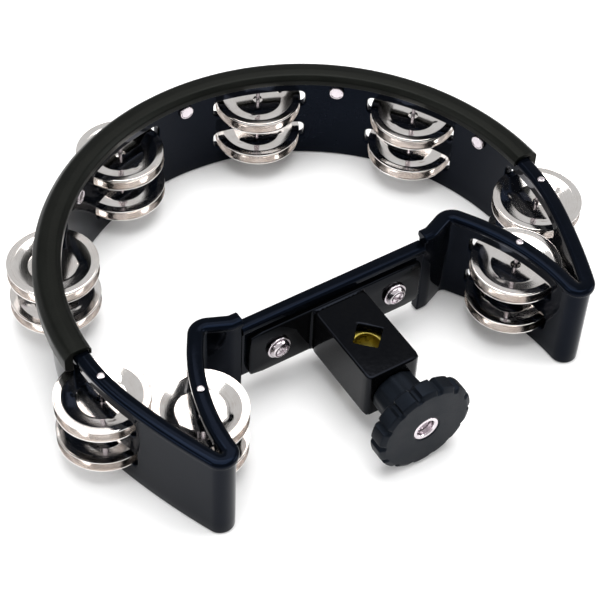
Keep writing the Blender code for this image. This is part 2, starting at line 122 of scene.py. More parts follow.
def piece(name, grids, body, replaces, material, sharp=38, bevel=0.0, bevel_steps=2):
    """One object from grids of points in millimetres.

    Each grid is (points[v, u, 3], wraps in u, wraps in v, uv[v, u, 2] or None). Quad (v, u) joins
    the points (v, u), (v, u+1), (v+1, u+1) and (v+1, u). Points that coincide are welded, so a row
    shrunk to one point becomes a pole. Edges that turn by more than sharp degrees are kept crisp,
    or eased by a bevel of that many millimetres.
    """
    verts, quads, coords, start = [], [], [], 0
    for points, wrap_u, wrap_v, uv in grids:
        rows, columns = points.shape[:2]
        v = np.arange(rows if wrap_v else rows - 1)[:, None]
        u = np.arange(columns if wrap_u else columns - 1)[None, :]
        v2, u2 = (v + 1) % rows, (u + 1) % columns
        corners = [v * columns + u, v * columns + u2, v2 * columns + u2, v2 * columns + u]
        quads.append(np.stack([c.ravel() for c in corners], axis=1) + start)
        verts.append(points.reshape(-1, 3))
        if uv is not None:
            step = (uv[:, 1:2, 0] - uv[:, 0:1, 0]) if wrap_u else 0
            at = [uv[v, u], uv[v, u2], uv[v2, u2], uv[v2, u]]
            for k in (1, 2):
                turned = at[k].copy()
                if wrap_u:
                    turned[..., 0] = np.where(u2 == 0, uv[v, u, 0] + step[v, 0], turned[..., 0])
                at[k] = turned
            coords.append(np.stack([c.reshape(-1, 2) for c in at], axis=1))
        start += rows * columns
    mesh = bpy.data.meshes.new(name)
    mesh.from_pydata(world(np.concatenate(verts)), [], np.concatenate(quads))
    if coords:
        layer = mesh.uv_layers.new(name="surface")
        layer.data.foreach_set("uv", np.concatenate(coords).reshape(-1))
    mesh.materials.append(material)
    clean_mesh(mesh)
    mesh.shade_smooth()
    mesh.set_sharp_from_angle(angle=math.radians(sharp))
    obj = bpy.data.objects.new(name, mesh)
    bpy.context.scene.collection.objects.link(obj)
    if bevel:
        edge = obj.modifiers.new("eased edges", "BEVEL")
        edge.width = bevel * 0.001
        edge.segments = bevel_steps
        edge.limit_method = "ANGLE"
        edge.angle_limit = math.radians(sharp)
        edge.harden_normals = True
    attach(obj, body)
    if replaces:
        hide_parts(*replaces)


def clean_mesh(mesh):
    """Welds points that coincide, closes any open end with one face and turns normals outwards."""
    bm = bmesh.new()
    bm.from_mesh(mesh)
    bmesh.ops.remove_doubles(bm, verts=bm.verts, dist=2e-6)
    bmesh.ops.dissolve_degenerate(bm, edges=bm.edges, dist=1e-7)
    open_edges = [e for e in bm.edges if e.is_boundary]
    if open_edges:
        bmesh.ops.holes_fill(bm, edges=open_edges, sides=0)
    bmesh.ops.recalc_face_normals(bm, faces=bm.faces)
    bm.to_mesh(mesh)
    bm.free()


def lathed(profile, sides, radial=None):
    """Points of a (radius, height) profile turned round Z: row v is a profile point, column u an
    angle. radial(angle, radius, height) may give changed radius and height."""
    profile = np.asarray(profile, float)
    angle = np.arange(sides) * TAU / sides
    angle, radius, height = np.broadcast_arrays(angle, profile[:, 0:1], profile[:, 1:2])
    if radial:
        radius, height = radial(angle, radius, height)
    points = stacked(radius * np.cos(angle), radius * np.sin(angle), height)
    run = np.concatenate([[0], np.cumsum(np.linalg.norm(np.diff(profile, axis=0), axis=1))])
    uv = stacked(angle / TAU, run[:, None] / 10.0)
    return points, uv


def placed(points, origin, x_axis, z_axis):
    """Turns local points so that their X and Z lie along the given directions, then moves them."""
    z = np.asarray(z_axis, float) / np.linalg.norm(z_axis)
    x = np.asarray(x_axis, float)
    x = x - z * (x @ z)
    x /= np.linalg.norm(x)
    return points @ np.array([x, np.cross(z, x), z]) + np.asarray(origin, float)


# ---------------------------------------------------------------- materials


def linear(code):
    """An sRGB hex colour as linear RGBA."""
    value = np.array([int(code[k : k + 2], 16) for k in (1, 3, 5)]) / 255
    value = np.where(value <= 0.04045, value / 12.92, ((value + 0.055) / 1.055) ** 2.4)
    return (*value.tolist(), 1.0)


def add(tree, kind, settings=None, links=None):
    """Adds a node and returns its outputs.

    Settings go to the node's properties or to its inputs, by name or number; "stops" fills its
    colour band with (position, hex colour) pairs. Links go from an output to an input.
    """
    node = tree.nodes.new(kind)
    for key, value in (settings or {}).items():
        if key == "stops":
            band = node.color_ramp.elements
            while len(band) < len(value):
                band.new(0.5)
            for stop, (place, code) in zip(band, value):
                stop.position = place
                stop.color = linear(code)
        elif isinstance(key, str) and hasattr(node, key) and key not in node.inputs:
            setattr(node, key, value)
        else:
            node.inputs[key].default_value = value
    for key, source in (links or {}).items():
        tree.links.new(source, node.inputs[key])
    return node.outputs


def principled(name, constants):
    """A Principled material; constants go straight to the shader's sockets."""
    material = bpy.data.materials.new(name)
    material.use_nodes = True
    shader = material.node_tree.nodes["Principled BSDF"]
    for key, value in constants.items():
        shader.inputs[key].default_value = value
    return material, material.node_tree, shader


def drive(tree, shader, mixed, stops, rough, relief, strength, depth_mm):
    """Links one 0 to 1 pattern to the shader's colour and roughness, and another to its bump."""
    colour = add(tree, "ShaderNodeValToRGB", {"stops": stops}, {0: mixed})[0]
    span = {"From Min": 0.3, "From Max": 0.7, "To Min": rough[0], "To Max": rough[1]}
    level = add(tree, "ShaderNodeMapRange", span, {0: mixed})[0]
    depth = {"Strength": strength, "Distance": depth_mm * 0.001}
    normal = add(tree, "ShaderNodeBump", depth, {"Height": relief})[0]
    tree.links.new(colour, shader.inputs["Base Color"])
    tree.links.new(level, shader.inputs["Roughness"])
    tree.links.new(normal, shader.inputs["Normal"])


def patterned(name, grain_mm, detail, stops, rough, depth_mm, constants):
    """Fine grain and patches 14 times its size drive a material's colour and roughness; the grain
    alone drives a shallow bump."""
    material, tree, shader = principled(name, constants)
    where = {"Vector": add(tree, "ShaderNodeTexCoord")["Object"]}
    fine = {"Scale": 1000 / grain_mm, "Detail": detail}
    broad = {"Scale": 1000 / (grain_mm * 14), "Detail": 3.0}
    grain = add(tree, "ShaderNodeTexNoise", fine, where)[0]
    patches = add(tree, "ShaderNodeTexNoise", broad, where)[0]
    share = add(tree, "ShaderNodeMath", {"operation": "MULTIPLY", 1: 0.55}, {0: patches})[0]
    weights = {"operation": "MULTIPLY_ADD", 1: 0.45}
    mixed = add(tree, "ShaderNodeMath", weights, {0: grain, 2: share})[0]
    drive(tree, shader, mixed, stops, rough, grain, 1.0, depth_mm)
    return material


# Injection-moulded ABS, polished tool: black with a cool sheen, faint waviness from the mould and
# a haze of fine handling marks.
gloss_abs = patterned(
    "injection_moulded_gloss_abs",
    grain_mm=7.0,
    detail=2.0,
    stops=[(0.3, "#020305"), (0.7, "#06080D")],
    rough=(0.05, 0.12),
    depth_mm=0.015,
    constants={"IOR": 1.5, "Specular IOR Level": 0.08, "Specular Tint": linear("#8FB2F2")},
)

# Moulded EPDM rubber: olive-black, satin, with the fine grit of a blasted mould.
grip_rubber = patterned(
    "moulded_epdm_rubber",
    grain_mm=0.9,
    detail=4.0,
    stops=[(0.3, "#030403"), (0.7, "#090A08")],
    rough=(0.3, 0.45),
    depth_mm=0.05,
    constants={"IOR": 1.5, "Specular IOR Level": 0.13, "Specular Tint": linear("#DDE2DA")},
)

# Knob: glass-filled nylon with a spark-eroded face, slate grey where it catches light.
knob_nylon = patterned(
    "glass_filled_nylon",
    grain_mm=0.7,
    detail=4.0,
    stops=[(0.3, "#050608"), (0.7, "#0B0E12")],
    rough=(0.4, 0.55),
    depth_mm=0.04,
    constants={"IOR": 1.5, "Specular IOR Level": 0.15, "Specular Tint": linear("#B4C8E8")},
)

# Stoved enamel on steel: black, wet-looking, with slight orange peel.
gloss_enamel = patterned(
    "stoved_black_enamel",
    grain_mm=1.8,
    detail=2.0,
    stops=[(0.3, "#020203"), (0.7, "#050505")],
    rough=(0.04, 0.1),
    depth_mm=0.012,
    constants={"IOR": 1.5, "Specular IOR Level": 0.1, "Specular Tint": linear("#C4D2F0")},
)

# Bright nickel plate on small turned and headed parts.
bright_nickel = patterned(
    "bright_nickel_plate",
    grain_mm=0.8,
    detail=3.0,
    stops=[(0.3, "#CFC6CC"), (0.7, "#E6DEE2")],
    rough=(0.14, 0.26),
    depth_mm=0.008,
    constants={"Metallic": 1.0},
)

# Yellow zinc passivate: iridescent straw to olive.
yellow_zinc = patterned(
    "yellow_zinc_passivate",
    grain_mm=2.4,
    detail=3.0,
    stops=[(0.2, "#8B7B2E"), (0.5, "#B9A94F"), (0.8, "#A08B6A")],
    rough=(0.22, 0.4),
    depth_mm=0.02,
    constants={"Metallic": 1.0},
)


def jingle_plate():
    """Nickel-plated spring steel, stamped and tumbled.

    Rings 0.36 mm apart round the hub, left by spinning, run in the piece's own radius coordinate,
    in centimetres; cloudy stains 11 mm across warm the plate, and the roughness follows both.
    """
    material, tree, shader = principled("stamped_nickel_plated_steel", {"Metallic": 1.0})
    own = add(tree, "ShaderNodeUVMap", {"uv_map": "surface"})[0]
    radius = add(tree, "ShaderNodeSeparateXYZ", None, {"Vector": own})["Y"]
    line_noise = {"noise_dimensions": "1D", "Scale": 28.0, "Detail": 4.0}
    rings = add(tree, "ShaderNodeTexNoise", line_noise, {"W": radius})[0]
    place = add(tree, "ShaderNodeTexCoord")["Object"]
    cloud = {"Scale": 90.0, "Detail": 4.0, "Roughness": 0.6}
    stains = add(tree, "ShaderNodeTexNoise", cloud, {"Vector": place})[0]
    share = add(tree, "ShaderNodeMath", {"operation": "MULTIPLY", 1: 0.65}, {0: stains})[0]
    weights = {"operation": "MULTIPLY_ADD", 1: 0.35}
    mixed = add(tree, "ShaderNodeMath", weights, {0: rings, 2: share})[0]
    stops = [(0.25, "#D6CEC8"), (0.5, "#ECE8E5"), (0.75, "#F4F2F1")]
    drive(tree, shader, mixed, stops, (0.15, 0.06), rings, 0.5, 0.02)
    return material


jingle_nickel = jingle_plate()

# Matt paper sweep under the object.
studio_paper = patterned(
    "studio_paper",
    grain_mm=6.0,
    detail=4.0,
    stops=[(0.3, "#FAFAFA"), (0.7, "#FDFDFD")],
    rough=(0.75, 0.85),
    depth_mm=0.01,
    constants={"Specular IOR Level": 0.1},
)


# ---------------------------------------------------------------- the band's middle line


class BandLine:
    """The frame's middle line, from the middle of the back (s = 0) to the end of a leg.

    On an arc of signed radius r the heading is h0 + d / r and the place is
    p0 + r * (sin h - sin h0, cos h0 - cos h); on a straight run it is p0 + d * (cos h0, sin h0).
    A negative s mirrors the right half in X.
    """

    ARC, ARM, TIP, LEG = 123.0, 345.0, 4.4, 110.0

    def __init__(self):
        # signed radius and length of each run, from the back round a horn to the bar's bend
        runs = (
            (-self.ARC, math.radians(106.0) * self.ARC),
            (-self.ARM, math.radians(8.3) * self.ARM),
            (-self.TIP, math.radians(155.7) * self.TIP),
            (self.LEG, math.radians(32.0) * self.LEG),
            (math.inf, 5.6),
            (6.0, math.radians(81.4) * 6.0),
            (math.inf, 9.5),
            (-6.0, math.radians(23.4) * 6.0),
        )
        self.runs, s, at, heading = [], 0.0, np.array([0.0, self.ARC]), 0.0
        for radius, length in runs:
            self.runs.append((s, at, heading, radius))
            s += length
            at, heading = self._along(at, heading, radius, length)
        heading = math.pi
        self.runs.append((s, at, heading, math.inf))
        self.end = s + at[0] - 50.6
        self.bar_y = float(at[1])
        self.starts = [run[0] for run in self.runs]

    @staticmethod
    def _along(at, heading, radius, d):
        """The place and heading at distance d into a run, by the class's formulas."""
        if math.isinf(radius):
            return at + np.array([math.cos(heading), math.sin(heading)]) * d, heading
        h = heading + d / radius
        step = np.array([math.sin(h) - math.sin(heading), math.cos(heading) - math.cos(h)])
        return at + radius * step, h

    def at(self, s, offset=0.0):
        """Plan places (x, y) at distances s, pushed outwards by offset."""
        s, offset = np.broadcast_arrays(np.asarray(s, float), offset)
        side, d = np.where(s < 0, -1.0, 1.0), np.abs(s)
        x, y, h = np.zeros_like(d), np.zeros_like(d), np.zeros_like(d)
        which = np.clip(np.searchsorted(self.starts, d, side="right") - 1, 0, len(self.runs) - 1)
        for k, (start, at, heading, radius) in enumerate(self.runs):
            here = which == k
            run = d[here] - start
            if math.isinf(radius):
                h[here] = heading
                x[here] = at[0] + run * math.cos(heading)
                y[here] = at[1] + run * math.sin(heading)
            else:
                turn = heading + run / radius
                h[here] = turn
                x[here] = at[0] + radius * (np.sin(turn) - math.sin(heading))
                y[here] = at[1] + radius * (math.cos(heading) - np.cos(turn))
        x = x - np.sin(h) * offset
        y = y + np.cos(h) * offset
        return side * x, y

    def samples(self):
        """Distances along the right half, closer together where the line bends more."""
        coarse = 2.2
        marks = []
        for k, (start, _, _, radius) in enumerate(self.runs):
            stop = self.runs[k + 1][0] if k + 1 < len(self.runs) else self.end
            step = coarse if abs(radius) > 50 else abs(radius) * math.radians(5)
            step = coarse * 2 if math.isinf(radius) else step
            marks.append(np.linspace(start, stop, max(2, math.ceil((stop - start) / step) + 1)))
        return np.unique(np.concatenate(marks).round(6))


line = BandLine()
STATION_S = [math.radians(a) * line.ARC for a in (19.25, 57.75, 98.0)]
STATION_S.append(line.starts[3] + math.radians(17.6) * line.LEG)
STATIONS = [-s for s in reversed(STATION_S)] + STATION_S

# The band's section: half its thickness, its top, half its rim's width, the heights where the wall
# meets foot and rim, and the height between the two rows of slots.
WALL, TOP, RIM, WALL_FOOT, WALL_HEAD, MIDDLE = 2.5, 53.0, 3.8, 7.0, 46.5, 27.5
# A slot: half its length, half its height, its corner radius, and half the length of wall meshed
# round it.
SLOT_HALF, SLOT_RISE, SLOT_CORNER, WINDOW = 24.75, 5.0, 3.0, 26.3
SLOT_MIDDLES = {"low": 16.6, "high": 38.4}
ALONG, UP = 40, 8  # mesh steps along a slot and up half the wall
AROUND = 96  # points in each ring of the bracket and the eye
# The gap left between stacked parts, and how thick the bracket's plate and a washer are.
GAP, PLATE, WASHER = 0.3, 2.5, 1.2
# The heights of the screws and of the clamp's axis, and where the rod hole lies in y.
SCREW_Z, CLAMP_Z, ROD_Y = 26.2, 25.2, -48.5
# Where the knob, its insert and the stud begin in y.
KNOB_Y, INSERT_Y, STUD_Y = -98.5, -98.2, -95.5
# A disc: its radius, its hole's radius and its sheet's thickness.
DISC, HOLE, SHEET = 22.0, 2.6, 0.6
# A disc's dimples: their distance from the pin, their radius and their height.
DIMPLE_AT, DIMPLE_RADIUS, DIMPLE_RISE = 13.2, 2.3, 0.4
PAIR_TOP = 6.8  # top of a resting pair of discs, above the slot's floor
GOLDEN_ANGLE = 2.39996
RIVET_ANGLES, RIVET_Z = (-77.0, -38.5, 0.0, 38.5, 77.0), 44.4


def band_points(s, offset, z):
    """Points at distance s along the band, offset outwards from its middle, at height z."""
    x, y = line.at(s, offset)
    return stacked(x, y, z)


def window_ring(half_s, low, high):
    """The rectangle round a slot, walked once: ALONG steps along it and UP steps up each side."""
    a = np.linspace(-half_s, half_s, ALONG + 1)
    b = np.linspace(low, high, UP + 1)
    sides = [
        stacked(a[:-1], low),
        stacked(half_s, b[:-1]),
        stacked(a[:0:-1], high),
        stacked(-half_s, b[:0:-1]),
    ]
    return np.concatenate(sides)


def slot_ring(grow):
    """The slot's outline: a rectangle's points, each pushed out from the nearest point of the inner
    box by the corner radius, so the corners come out round."""
    ring = window_ring(1.0, -1.0, 1.0) * (SLOT_HALF + grow, SLOT_RISE + grow)
    radius = SLOT_CORNER + grow
    inner = np.array([SLOT_HALF - SLOT_CORNER, SLOT_RISE - SLOT_CORNER])
    near = np.clip(ring, -inner, inner)
    away = ring - near
    size = np.maximum(np.linalg.norm(away, axis=1, keepdims=True), 1e-9)
    return near + away / size * radius


def slot_window(s_mid, z_mid, low, high):
    """Wall round one slot, from the outer face through the eased slot edge to the inner face.

    Rows run from the window's rectangle to the slot by a straight blend, then round a lip of
    radius 0.8 and straight through the wall.
    """
    rectangle = window_ring(WINDOW, low, high)
    lip = 0.8
    rows = []
    wide = slot_ring(lip) + (0, z_mid)
    for t in (0.0, 0.35, 0.7):
        rows.append((rectangle * (1 - t) + wide * t, WALL))
    for turn in np.linspace(0, math.pi / 2, 5):
        ring = slot_ring(lip * (1 - math.sin(turn))) + (0, z_mid)
        rows.append((ring, WALL - lip * (1 - math.cos(turn))))
    rows += [(ring, -offset) for ring, offset in reversed(rows)]
    return np.stack([band_points(s_mid + ring[:, 0], offset, ring[:, 1]) for ring, offset in rows])


def make_frame():
    """Band, rim and foot carried along the middle line, with windows where the slots are."""
    edges = [np.linspace(s - WINDOW, s + WINDOW, ALONG + 1) for s in STATION_S]
    half = line.samples()
    for window in edges:
        half = half[(half < window[0] - 0.4) | (half > window[-1] + 0.4)]
    half = np.unique(np.concatenate([half, *edges]).round(6))
    s = np.unique(np.concatenate([-half, half]))
    rim = rounded_line(
        [
            (WALL, WALL_HEAD),
            (WALL, 48.5),
            (RIM, 49.8),
            (RIM, TOP),
            (-RIM, TOP),
            (-RIM, 49.8),
            (-WALL, 48.5),
            (-WALL, WALL_HEAD),
        ],
        [0, 1.0, 0.9, 1.8, 1.8, 0.9, 1.0, 0],
        6,
    )
    on_top = rim[:, 1] > TOP - 0.1
    rim[:, 1] += 0.25 * np.clip(1 - (rim[:, 0] / 2.2) ** 2, 0, 1) * on_top
    foot = [(-WALL, WALL_FOOT), (-WALL, 0), (WALL, 0), (WALL, WALL_FOOT)]
    foot = rounded_line(foot, [0, 0.9, 0.9, 0], 5)
    grids = [
        (band_points(s[:, None], rim[None, :, 0], rim[None, :, 1]), False, False, None),
        (band_points(s[:, None], foot[None, :, 0], foot[None, :, 1]), False, False, None),
    ]
    upper = np.linspace(MIDDLE, WALL_HEAD, UP + 1)[1:]
    z = np.concatenate([np.linspace(WALL_FOOT, MIDDLE, UP + 1), upper])
    inside = np.zeros(len(s) - 1, bool)
    mid = (s[1:] + s[:-1]) / 2
    for station in STATIONS:
        inside |= np.abs(mid - station) < WINDOW
    breaks = np.flatnonzero(np.diff(inside.astype(int)))
    bounds = np.concatenate([[0], breaks + 1, [len(s) - 1]])
    for first, last in zip(bounds[:-1], bounds[1:]):
        if not inside[first]:
            run = s[first : last + 1]
            for offset in (WALL, -WALL):
                grids.append((band_points(run[:, None], offset, z[None, :]), False, False, None))
    for station in STATIONS:
        for row, low, high in (("low", WALL_FOOT, MIDDLE), ("high", MIDDLE, WALL_HEAD)):
            window = slot_window(station, SLOT_MIDDLES[row], low, high)
            grids.append((window, True, False, None))
    piece(
        "band",
        grids,
        "frame",
        ["frame"],
        gloss_abs,
        sharp=50,
        bevel=0.7,
        bevel_steps=3,
    )

    bar = rounded_line(
        [
            (WALL, 12.0),
            (WALL, 41.6),
            (3.6, 42.7),
            (3.6, 46.5),
            (-3.6, 46.5),
            (-3.6, 42.7),
            (-WALL, 41.6),
            (-WALL, 12.0),
        ],
        [0.9, 1.0, 0.9, 1.7, 1.7, 0.9, 1.0, 0.9],
        6,
        closed=True,
    )
    x = np.linspace(-50.8, 50.8, 25)
    points = stacked(x[:, None], line.bar_y - bar[None, :, 0], bar[None, :, 1])
    grid = (points, True, False, None)
    piece("bar", [grid], "frame", [], gloss_abs, sharp=50)


def make_grip():
    """A channel section carried round the back; its outer flap rises over each jingle station."""
    section = rounded_line(
        [
            (-5.2, 50.1),
            (-4.1, 50.1),
            (-4.1, 53.3),
            (4.1, 53.3),
            (4.1, 42.0),
            (6.3, 42.0),
            (8.5, 44.6),
            (8.5, 52.4),
            (5.6, 55.6),
            (1.0, 56.0),
            (-3.0, 55.5),
            (-5.2, 53.4),
        ],
        [0.4, 0.4, 0.4, 0.4, 0.6, 1.2, 2.6, 2.6, 3.5, 6.0, 2.0, 1.6],
        5,
        closed=True,
    )
    end = math.radians(90.5) * line.ARC
    s = np.linspace(-end, end, 321)
    reach = np.min(np.abs(s[:, None] - np.array(STATIONS)[None, :]), axis=1)
    # the flap's foot rises 1.8 mm within 24.5 mm of a station, less over the next 3 mm
    lift = 1.8 * (1 - smooth((reach - 24.5) / 3.0))
    low = np.clip((46.5 - section[None, :, 1]) / 4.5, 0, 1)
    low = low * (section[None, :, 0] > 0)
    height = section[None, :, 1] + lift[:, None] * low
    points = band_points(s[:, None], section[None, :, 0], height)
    grid = (points, True, False, None)
    piece("grip_skin", [grid], "frame", ["grip"], grip_rubber, sharp=50, bevel=0.9)


def dimples(angle, radius, height):
    """Three shallow stamped bumps a disc: the height gains a smooth step of the distance from each
    bump's middle."""
    x, y = radius * np.cos(angle), radius * np.sin(angle)
    lift = np.zeros_like(radius)
    for k in range(3):
        middle = TAU * k / 3
        away = np.hypot(x - DIMPLE_AT * math.cos(middle), y - DIMPLE_AT * math.sin(middle))
        lift += DIMPLE_RISE * smooth(1 - away / DIMPLE_RADIUS)
    return radius, height + lift


def jingle_profile():
    """Top side out from the hole and underside back: a flat hub, a cone down to a flat rim, and an
    edge rolled slightly up; the sheet is as thick all the way."""
    top = rounded_line(
        [(HOLE, 3.04), (5.0, 3.1), (11.8, 3.1), (18.4, 0.7), (21.3, 0.62), (DISC, 0.74)],
        [0, 4, 3.0, 1.6, 0.8, 0],
        6,
    )
    slope = np.concatenate([np.linspace(6.5, 11.0, 7), np.linspace(12.8, 17.6, 7)])
    radius = np.unique(np.concatenate([top[:, 0], slope]).round(5))
    height = np.interp(radius, top[:, 0], top[:, 1])
    edge = stacked(DISC + 0.12 * np.sin(np.linspace(0.4, 2.7, 4)), np.linspace(0.68, 0.12, 4))
    under = stacked(radius[::-1], height[::-1] - SHEET)
    hole = stacked(HOLE, np.array([2.6, 2.9]))
    return np.concatenate([stacked(radius, height), edge, under, hole])


def make_jingles():
    """Thirty-two discs; each is the same stamping turned to its own angle, and the upper one of a
    pair is turned over."""
    profile = jingle_profile()
    points, uv = lathed(profile, 72, dimples)
    uv = stacked(uv[..., 0], profile[:, 0:1] / 10.0)
    number = 0
    for station, s in enumerate(STATIONS, 1):
        x, y = line.at(np.array([s]))
        for row, z in SLOT_MIDDLES.items():
            floor = z - SLOT_RISE
            for half in ("under", "over"):
                number += 1
                turn = number * GOLDEN_ANGLE
                side = (math.cos(turn), math.sin(turn), 0)
                disc = placed(points, (0, 0, 0), side, (0, 0, 1))
                if half == "over":
                    disc = disc * (1, 1, -1) + (0, 0, PAIR_TOP)
                else:
                    disc = disc + (0, 0, GAP)
                name = f"jingle_{station}_{row}_{half}"
                disc = disc + (x[0], y[0], floor)
                piece(
                    f"disc_{station}_{row}_{half}",
                    [(disc, True, True, uv)],
                    name,
                    [name],
                    jingle_nickel,
                    sharp=40,
                )


def make_small_metal():
    """Pins, rivets, screws, washers and nuts: each is a profile turned round its own axis."""
    pin = rounded_line(
        [(0, 54.1), (1.3, 54.1), (1.8, 53.7), (1.8, 53.25), (1.0, 53.25), (1.0, 6.0), (0, 6.0)],
        [0, 0.3, 0.2, 0, 0, 0.2, 0],
        3,
    )
    for number, s in enumerate(STATIONS, 1):
        x, y = line.at(np.array([s]))
        points, uv = lathed(pin, 24)
        piece(
            f"pin_{number}",
            [(points + (x[0], y[0], 0), True, False, uv)],
            "frame",
            [f"jingle_pin_{number}"],
            bright_nickel,
        )
    rivet = rounded_line(
        [
            (0, 4.05),
            (2.7, 4.05),
            (3.1, 4.3),
            (3.5, 4.25),
            (3.85, 3.6),
            (3.9, 2.8),
            (1.6, 2.8),
            (1.6, -7.0),
            (3.9, -7.0),
            (3.85, -7.6),
            (2.4, -8.25),
            (0, -8.3),
        ],
        [0, 0.2, 0.2, 0.2, 0.2, 0, 0, 0, 0, 0.3, 1.0, 0],
        4,
    )
    for number, angle in enumerate(RIVET_ANGLES, 1):
        a = math.radians(angle)
        points, uv = lathed(rivet, 40)
        middle = (line.ARC * math.sin(a), line.ARC * math.cos(a), RIVET_Z)
        points = placed(points, middle, (0, 0, 1), (-math.sin(a), -math.cos(a), 0))
        piece(
            f"rivet_{number}",
            [(points, True, False, uv)],
            "frame",
            [f"grip_rivet_{number}"],
            bright_nickel,
        )
    plate_front = line.bar_y - WALL - GAP - PLATE
    washer_front = plate_front - GAP - WASHER
    head_back = washer_front - GAP
    bar_back = line.bar_y + WALL

    def cross(angle, radius, height):
        """A cross recess: deepest in the middle, with two arms 1.1 mm wide."""
        x, y = np.abs(radius * np.cos(angle)), np.abs(radius * np.sin(angle))
        arm = np.maximum(smooth((0.75 - y) / 0.3), smooth((0.75 - x) / 0.3))
        deep = 1.5 * arm * smooth((3.1 - radius) / 0.7)
        return radius, height - np.where(height > 1.0, deep, 0.0)

    def flats(angle, radius, height):
        """Six flats outside the bore: the radius is divided by the cosine within each sixth."""
        within = (angle + math.pi / 6) % (math.pi / 3) - math.pi / 6
        flat = 4.85 / np.cos(within)
        corner = 5.6 - 0.5 * (np.abs(height - 2.5) > 2.2)
        return np.where(radius > 4.2, np.minimum(flat, corner), radius), height

    shank_end = -16.4
    nut = [(3.75, 0), (3.45, 0.4), (3.45, 4.6), (3.75, 5.0)]
    nut += [(4.9, 5.0), (5.2, 4.65), (5.2, 0.35), (4.9, 0)]
    head = [(0, 2.5), (2.2, 2.4), (4.2, 1.75), (5.2, 0.5), (5.2, 0)]
    head += [(3.0, 0), (3.0, shank_end), (0, shank_end)]
    head = rounded_line(head, [0, 3.0, 2.0, 0.6, 0.1, 0, 0.4, 0], 8)
    # close rings across the crown carry the cross recess
    extra = np.linspace(0.15, 3.3, 20)
    crown = stacked(extra, np.interp(extra, head[:40, 0], head[:40, 1]))
    head = np.concatenate([head[:1], crown, head[(head[:, 0] > 3.3) | (head[:, 1] < 0.01)]])
    washer = [(3.5, 0), (3.5, WASHER), (6.2, WASHER), (6.2, 0)]
    washer = rounded_line(washer, [0.15, 0.2, 0.35, 0.2], 3, closed=True)
    for side, x, turn in (("left", -32.8, 0.4), ("right", 32.8, 1.0)):
        points, uv = lathed(head, 72, cross)
        arm = (math.cos(turn), 0, math.sin(turn))
        points = placed(points, (x, head_back, SCREW_Z), arm, (0, -1, 0))
        piece(
            f"screw_{side}",
            [(points, True, False, uv)],
            "frame",
            [f"bracket_screw_{side}"],
            bright_nickel,
            sharp=55,
        )
        points, uv = lathed(washer, 64)
        points = placed(points, (x, washer_front + WASHER, SCREW_Z), (1, 0, 0), (0, -1, 0))
        piece(
            f"washer_{side}",
            [(points, True, True, uv)],
            "frame",
            [f"bracket_washer_{side}"],
            bright_nickel,
        )
        points, uv = lathed(nut, 72, flats)
        points = placed(points, (x, bar_back + GAP, SCREW_Z), (1, 0, 0), (0, 1, 0))
        piece(
            f"nut_{side}",
            [(points, True, True, uv)],
            "frame",
            [f"bracket_nut_{side}"],
            bright_nickel,
            sharp=20,
        )


def ring_of(half_x, half_y, corner):
    """A rectangle with round corners as AROUND points at equal angles, from its right side."""
    box = [(half_x, -half_y), (half_x, half_y), (-half_x, half_y), (-half_x, -half_y)]
    box = spread(rounded_line(box, corner, 8, closed=True), 720)
    angle = np.arctan2(box[:, 1], box[:, 0])
    order = np.argsort(angle)
    at = (np.arange(AROUND) * TAU / AROUND + math.pi) % TAU - math.pi
    x = np.interp(at, angle[order], box[order, 0], period=TAU)
    y = np.interp(at, angle[order], box[order, 1], period=TAU)
    return stacked(x, y)


def diamond(half):
    """A square stood on its corner, 0.3 mm cut off each, at the same angles as ring_of gives."""
    t = np.arange(AROUND) * TAU / AROUND
    radius = half / (np.abs(np.cos(t)) + np.abs(np.sin(t)))
    radius = np.minimum(radius, half - 0.3)
    return stacked(radius * np.cos(t), radius * np.sin(t))


